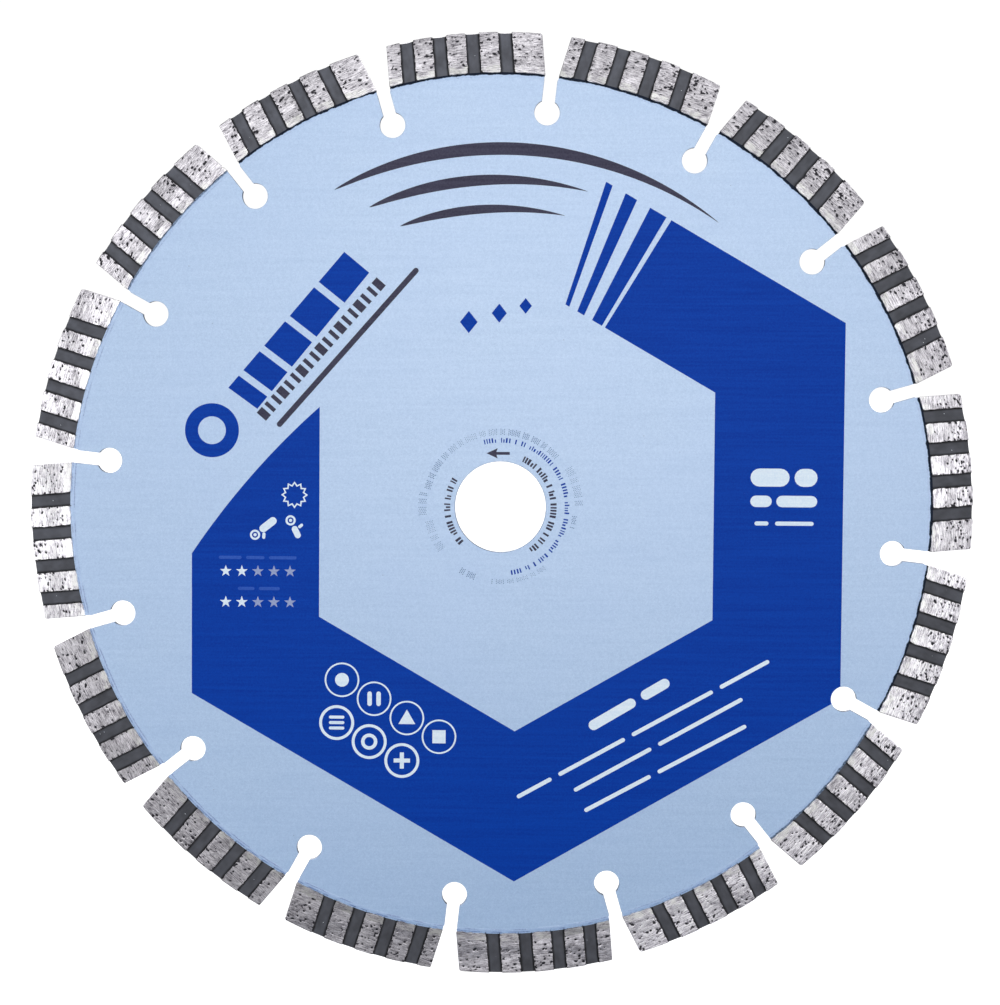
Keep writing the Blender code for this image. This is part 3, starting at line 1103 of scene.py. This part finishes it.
# Start x, z, end x, z, width, gap, relative lengths.
WHITE_DASHES = (
    (60.9, 7.7, 77.2, 7.7, 4.4, 1.2, (1.7, 1)),
    (60.9, 1.9, 77.2, 1.9, 2.8, 1.1, (1.0, 1.9)),
    (62.0, -3.5, 76.4, -3.5, 1.0, 1.6, (2, 5.5)),
    (22.2, -54.0, 41.6, -42.4, 2.5, 1.8, (5, 3)),
    (4.6, -71.4, 66.0, -37.2, 1.0, 2.0, (6, 11.5, 14, 8.5)),
    (18.6, -69.6, 59.6, -46.6, 1.0, 2.0, (11.5, 12.5)),
    (21.2, -74.6, 60.6, -53.2, 1.0, 2.0, (9, 12)),
)
LABEL_DASHES = (
    (-68.9, -12.9, -49.8, -12.9, 0.8, 1.1, (5, 4, 6)),
    (-64.2, -20.5, -53.9, -20.5, 0.8, 1.1, (4, 5)),
)
# Centres of the thin-lined and the thick-lined rings at the lower left.
THIN_RINGS = [(-38.56, -42.79), (-30.65, -47.39), (-22.58, -52.07), (-14.66, -56.62)]
THICK_RINGS = [(-39.83, -53.36), (-31.81, -57.99), (-23.76, -62.59)]
CROSS = (
    (-0.5, -2), (0.5, -2), (0.5, -0.5), (2, -0.5), (2, 0.5), (0.5, 0.5),
    (0.5, 2), (-0.5, 2), (-0.5, 0.5), (-2, 0.5), (-2, -0.5), (-0.5, -0.5),
)
# Two rows of stars: white in the first two columns, dim in the others.
STAR_COLUMNS, STAR_ROWS = (-67.16, -63.22, -59.28, -55.34, -51.4), (-16.25, -23.85)
# Wheel centre, end of the body, width of the body, end of the grip.
TOOL_SIGNS = (
    ((-60.0, -7.3), (-54.9, -3.3), 1.9, (-57.9, -8.3)),
    ((-51.3, -3.7), (-49.2, -8.0), 1.5, (-48.3, -4.6)),
)

DOT_PITCH = 0.43
DOT_COLUMNS = (5, 3, 7, 4)  # columns in successive blocks of dots
# Start and end in degrees, innermost radius, rows.
DOT_ARCS = (
    (284, 408, 17.7, 4),
    (420, 449, 18.3, 5),
    (457, 467, 17.8, 3),
    (504, 546, 17.9, 3),
    (560, 574, 17.6, 4),
    (594, 618, 16.9, 5),
    (624, 641, 18.2, 5),
)


def band_outline():
    """Hexagonal band, open at the top; the sixth keyhole cuts off its lower right corner."""
    outer, inner = HEX_OUTER, HEX_INNER
    hole = polar(FIRST_SLOT + 5 * PITCH, KEYHOLE_CENTRE)
    left_end = (part_way(outer[4], outer[5], 0.375), part_way(inner[4], inner[5], 0.925))
    return [
        part_way(outer[1], outer[0], 0.535),
        outer[1],
        *notch(outer[1], outer[2], outer[3], hole, KEYHOLE_R + 0.12),
        outer[3],
        outer[4],
        *bowed(*left_end, bulge=1.5),
        *inner[4:0:-1],
        part_way(inner[1], inner[0], 0.56),
    ]


def blue_marks():
    shapes = []
    # A row of blocks that grow, and a ring at its lower end.
    for start, end in ROW_BLOCKS:
        low = [part_way(*ROW_LOW, t) for t in (start, end)]
        high = [part_way(*ROW_HIGH, t) for t in (end, start)]
        shapes.append([low + high])
    shapes.append(ring(-70.6, 18.2, 6.6, 3.4))
    for x, z, r in RHOMBS:
        shapes.append([[(x + r * 0.8, z), (x, z + r), (x - r * 0.8, z), (x, z - r)]])
    for start, end in END_BARS:
        inner = [part_way(HEX_INNER[1], HEX_INNER[0], t) for t in (start, end)]
        leaning = (end - END_BAR_LEAN, start - END_BAR_LEAN)
        outer = [part_way(HEX_OUTER[1], HEX_OUTER[0], t) for t in leaning]
        shapes.append([inner + outer])
    return shapes + arc_ticks(
        radius=16.3, start=-14, end=170, height=1.15, seed=5,
        thin=0.22, thick=0.42, gap=0.36, groups=[5, 4, 1, 2, 11, 5, 5, 5, 7],
    )


def slate_marks():
    shapes = [tapered_arc(*arc) for arc in TAPERED_ARCS]
    # A scale of short bars under the blocks, every third one wider, and a long bar beside it.
    cos, sin = math.cos(SCALE_TURN), math.sin(SCALE_TURN)
    for i in range(SCALE_BARS):
        x, z = part_way(SCALE_START, SCALE_END, i / (SCALE_BARS - 1))
        long, wide = 1.5, 0.5 if i % 3 else 0.95
        corners = ((-wide, -long), (wide, -long), (wide, long), (-wide, long))
        shapes.append([[(x + cos * a - sin * b, z + sin * a + cos * b) for a, b in corners]])
    shapes.append(capsule(-54.5, 19.3, -20.5, 57.9, 1.35))
    # An arrow above the bore, pointing left.
    shapes.append([ARROW])
    # Ticks to the right and to the left of the bore.
    for start, end, seed, groups in (
        (26, 148.5, 7, [5, 5, 1, 3, 5, 3, 1, 2, 3]),
        (228, 303, 8, [2, 5, 1, 3, 2, 2]),
    ):
        shapes += arc_ticks(
            radius=13.0, start=start, end=end, height=1.5, seed=seed,
            thin=0.34, thick=0.62, gap=0.30, groups=groups,
        )
    return shapes


def ring_signs():
    """The rings at the lower left, then a plain shape in each."""
    shapes = [ring(x, z, 4.25, 3.85) for x, z in THIN_RINGS]
    shapes += [ring(x, z, 4.3, 3.6) for x, z in THICK_RINGS]
    shapes.append(disc(*THIN_RINGS[0], 1.7))
    x, z = THIN_RINGS[1]
    shapes += [capsule(x + off, z - 1.8, x + off, z + 1.8, 1.1) for off in (-1.1, 1.1)]
    x, z = THIN_RINGS[2]
    shapes.append([polygon(x, z - 0.3, 2.4, 3)])
    shapes.append([polygon(*THIN_RINGS[3], 2.3, 4, math.pi / 4)])
    x, z = THICK_RINGS[0]
    shapes += [capsule(x - 1.9, z + off, x + 1.9, z + off, 0.75) for off in (-1.35, 0.0, 1.35)]
    shapes.append(ring(*THICK_RINGS[1], 2.0, 1.15))
    x, z = THICK_RINGS[2]
    shapes.append([[(x + a, z + b) for a, b in CROSS]])
    return shapes


def tool_sign(wheel, tail, body, grip):
    """A round wheel, a gap and a rounded body with a grip."""
    span = math.hypot(tail[0] - wheel[0], tail[1] - wheel[1])
    way_x, way_z = (tail[0] - wheel[0]) / span, (tail[1] - wheel[1]) / span
    reach = 1.95 + body / 2
    knee = (wheel[0] + reach * way_x, wheel[1] + reach * way_z)
    grip_x, grip_z = grip[0] - knee[0], grip[1] - knee[1]
    first = (body / 2 + 0.25) / math.hypot(grip_x, grip_z)
    return [
        ring(*wheel, 1.25, 0.75),
        disc(*wheel, 0.4),
        capsule(wheel[0] + 1.6 * way_x, wheel[1] + 1.6 * way_z, *tail, body),
        capsule(knee[0] + grip_x * first, knee[1] + grip_z * first, *grip, 0.75),
    ]


def dash_rows(rows):
    return [shape for row in rows for shape in dashes(*row)]


def stars(columns):
    return [[star(x, z, 1.5, 0.6, 5)] for x in columns for z in STAR_ROWS]


def white_marks():
    shapes = dash_rows(WHITE_DASHES) + ring_signs() + stars(STAR_COLUMNS[:2])
    # A toothed ring.
    x, z = -50.35, 2.54
    shapes.append([star(x, z, 3.3, 2.5, 12), star(x, z, 2.75, 2.05, 12)[::-1]])
    for sign in TOOL_SIGNS:
        shapes += tool_sign(*sign)
    return shapes


def peened_dots():
    """Faint dots in a ring round the bore: blocks of staggered columns, with small gaps."""
    shapes = []
    for start, stop, radius, rows in DOT_ARCS:
        step = math.degrees(DOT_PITCH / (radius + 0.6))
        angle, column, block = start, 0, 0
        while angle < stop:
            dot = 0.125 + 0.025 * math.sin(math.radians(4.0 * angle))
            for j in range(rows - column % 2):
                out = radius + DOT_PITCH * (j + 0.5 * (column % 2))
                shapes.append([circle(*polar(math.radians(angle), out), dot, 8)])
            angle, column = angle + step, column + 1
            if column == DOT_COLUMNS[block % 4]:
                angle, column, block = angle + 1.5 * step, 0, block + 1
    return shapes


# ---------------------------------------------------------------- the blade

steel = cut_steel_material("laser_cut_steel")
for core_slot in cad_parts["steel_core"].material_slots:
    core_slot.material = steel

diamond = sintered_material("ground_diamond_layer", grit=True)
foot = sintered_material("ground_sintered_foot", grit=False)
seam = lacquer_material("lacquer_over_weld", tint=(-8, -8, -5), seam=True)
lacquer = lacquer_material("light_blue_lacquer")

for k in range(SEGMENTS):
    number = f"{k + 1:02d}"
    for piece, node, slot in (
        (build_segment(k, True, diamond), f"diamond_segment_{number}", "sintered_diamond"),
        (build_segment(k, False, foot), f"segment_foot_{number}", "sintered_foot"),
        (build_weld(k, seam), f"weld_seam_{number}", "lacquered_weld"),
    ):
        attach(piece, "root")
        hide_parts(node)

for name, side in (("lacquer_front", -1), ("lacquer_back", 1)):
    piece = build_lacquer(name, side, lacquer)
    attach(piece, "root")

# Material, colour, lighter colour, roughness, strength of the pinholes.
INKS = (
    ("royal_blue_ink", (1, 51, 149), (3, 64, 168), 0.40, 0.05),
    ("slate_ink", (56, 55, 72), (72, 71, 90), 0.42, 0.05),
    ("white_ink", (208, 226, 243), (228, 240, 250), 0.42, 0.0),
    ("dim_white_ink", (136, 149, 190), (156, 168, 206), 0.42, 0.0),
    ("pale_blue_ink", (40, 78, 172), (52, 92, 184), 0.42, 0.0),
    ("dot_peened_marks", (92, 114, 154), (112, 134, 174), 0.55, 0.0),
)
inks = {
    name: ink_material(name, srgb(*colour), srgb(*lift), rough, wear)
    for name, colour, lift, rough, wear in INKS
}
ON_LACQUER = -HALF_CORE - LACQUER
# Object, shapes, ink, how many coats of ink lie under it.
for name, shapes, ink, level in (
    ("print_blue_band", [[band_outline()]], "royal_blue_ink", 0),
    ("print_blue_marks", blue_marks(), "royal_blue_ink", 0),
    ("print_slate_marks", slate_marks(), "slate_ink", 0),
    ("print_white_marks", white_marks(), "white_ink", 1),
    ("print_dim_stars", stars(STAR_COLUMNS[2:]), "dim_white_ink", 1),
    ("print_label_bars", dash_rows(LABEL_DASHES), "pale_blue_ink", 1),
    ("dot_peened_ring", peened_dots(), "dot_peened_marks", 0),
):
    y_low = ON_LACQUER - INK * (1 + level)
    y_high = ON_LACQUER + INK_SINK - INK * level
    piece = slabs(name, shapes, y_low, y_high)
    piece.data.materials.append(inks[ink])
    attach(piece, "root")

# ---------------------------------------------------------------- floor, light and camera
# In metres from here on.

FLOOR_GAP = 0.00002
FLOOR_RINGS = (0.4, 1.0, 2.5, 6.0, 14.0)
FLOOR_SIDES = 64


def build_floor(z):
    """A flat round sheet: a fan of triangles, then rings of quads."""
    points = [(0.0, 0.0, z)]
    for radius in FLOOR_RINGS:
        for i in range(FLOOR_SIDES):
            angle = 2 * math.pi * i / FLOOR_SIDES
            points.append((radius * math.cos(angle), radius * math.sin(angle), z))
    faces = [(0, 1 + i, 1 + (i + 1) % FLOOR_SIDES) for i in range(FLOOR_SIDES)]
    for k in range(len(FLOOR_RINGS) - 1):
        inner, outer = 1 + k * FLOOR_SIDES, 1 + (k + 1) * FLOOR_SIDES
        for i in range(FLOOR_SIDES):
            j = (i + 1) % FLOOR_SIDES
            faces.append((inner + i, outer + i, outer + j, inner + j))
    mesh = bpy.data.meshes.new("floor")
    mesh.from_pydata(points, [], faces)
    obj = bpy.data.objects.new("floor", mesh)
    bpy.context.scene.collection.objects.link(obj)
    return obj


def floor_material():
    """Grey that glows white to the camera only, so that the blade's shadow stays faint."""
    mat = Material("studio_floor")
    to_camera = mat.node("ShaderNodeLightPath").outputs["Is Camera Ray"]
    mat.set(
        Base_Color=(0.3, 0.3, 0.31),
        Roughness=0.9,
        Specular_IOR_Level=0.1,
        Emission_Color=(1.0, 1.0, 1.0),
        Emission_Strength=mat.times(to_camera, 1.0),
    )
    return mat.material


def build_world():
    """White to the camera; to the blade a dim sky that is brighter overhead."""
    world = bpy.data.worlds.new("studio")
    bpy.context.scene.world = world
    world.use_nodes = True
    nodes, links = world.node_tree.nodes, world.node_tree.links
    nodes.clear()
    output = nodes.new("ShaderNodeOutputWorld")
    seen = nodes.new("ShaderNodeBackground")
    seen.inputs["Color"].default_value = (1.0, 1.0, 1.0, 1.0)
    seen.inputs["Strength"].default_value = 1.05
    lit = nodes.new("ShaderNodeBackground")
    lit.inputs["Strength"].default_value = 0.18
    where = nodes.new("ShaderNodeTexCoord")
    split = nodes.new("ShaderNodeSeparateXYZ")
    ramp = nodes.new("ShaderNodeMapRange")
    ramp.inputs["From Min"].default_value = -0.5
    ramp.inputs["From Max"].default_value = 0.7
    ramp.inputs["To Min"].default_value = 0.3
    ramp.inputs["To Max"].default_value = 1.25
    ramp.clamp = True
    path = nodes.new("ShaderNodeLightPath")
    either = nodes.new("ShaderNodeMixShader")
    links.new(where.outputs["Generated"], split.inputs[0])
    links.new(split.outputs[2], ramp.inputs["Value"])
    links.new(ramp.outputs["Result"], lit.inputs["Color"])
    links.new(path.outputs["Is Camera Ray"], either.inputs[0])
    links.new(lit.outputs[0], either.inputs[1])
    links.new(seen.outputs[0], either.inputs[2])
    links.new(either.outputs[0], output.inputs["Surface"])


def add_light(name, kind, energy, direction):
    data = bpy.data.lights.new(name, kind)
    data.energy = energy
    obj = bpy.data.objects.new(name, data)
    obj.rotation_mode = "QUATERNION"
    obj.rotation_quaternion = direction.to_track_quat("-Z", "Y")
    bpy.context.scene.collection.objects.link(obj)
    return obj


def add_camera():
    data = bpy.data.cameras.new("camera")
    data.lens = 87.93
    data.clip_start, data.clip_end = 0.01, 60.0
    camera = bpy.data.objects.new("camera", data)
    bpy.context.scene.collection.objects.link(camera)
    right = Vector((0.99982352, 0.01734304, 0.00722175))
    up = Vector((-0.00812751, 0.05273641, 0.99857539))
    axes = Matrix((right, up, right.cross(up))).transposed().to_4x4()
    camera.matrix_world = Matrix.Translation((0.01006, -0.59942, 0.03278)) @ axes
    bpy.context.scene.camera = camera


floor = build_floor(cad_low.z - FLOOR_GAP)
floor.data.materials.append(floor_material())
build_world()

# Name, direction of the light, strength, angular size in degrees.
for name, direction, strength, angle in (
    ("key", (-0.55, 0.63, -0.55), 1.05, 12),
    ("rear_fill", (0.35, -0.75, -0.65), 2.5, 40),
):
    sun = add_light(name, "SUN", strength, Vector(direction))
    sun.data.angle = math.radians(angle)

# Name, place, target, size, power.
for name, at, target, size, power in (
    ("front_box", (0.02, -0.85, 0.12), (0.02, 0.0, 0.12), (0.45, 0.5), 1.6),
    ("top_box", (0.06, -0.30, 0.42), (0.0, 0.0, 0.0), (0.3, 0.2), 0.3),
    ("left_box", (-0.52, -0.76, 0.0), (-0.05, 0.0, 0.0), (0.25, 0.4), 1.74),
    ("right_box", (0.56, -0.76, -0.01), (0.05, 0.0, 0.0), (0.25, 0.4), 1.6),
):
    box = add_light(name, "AREA", power, Vector(target) - Vector(at))
    box.data.shape = "RECTANGLE"
    box.data.size, box.data.size_y = size
    box.location = at
    box.visible_camera = False

add_camera()
bpy.context.scene.view_settings.view_transform = "Standard"

bpy.context.view_layer.update()
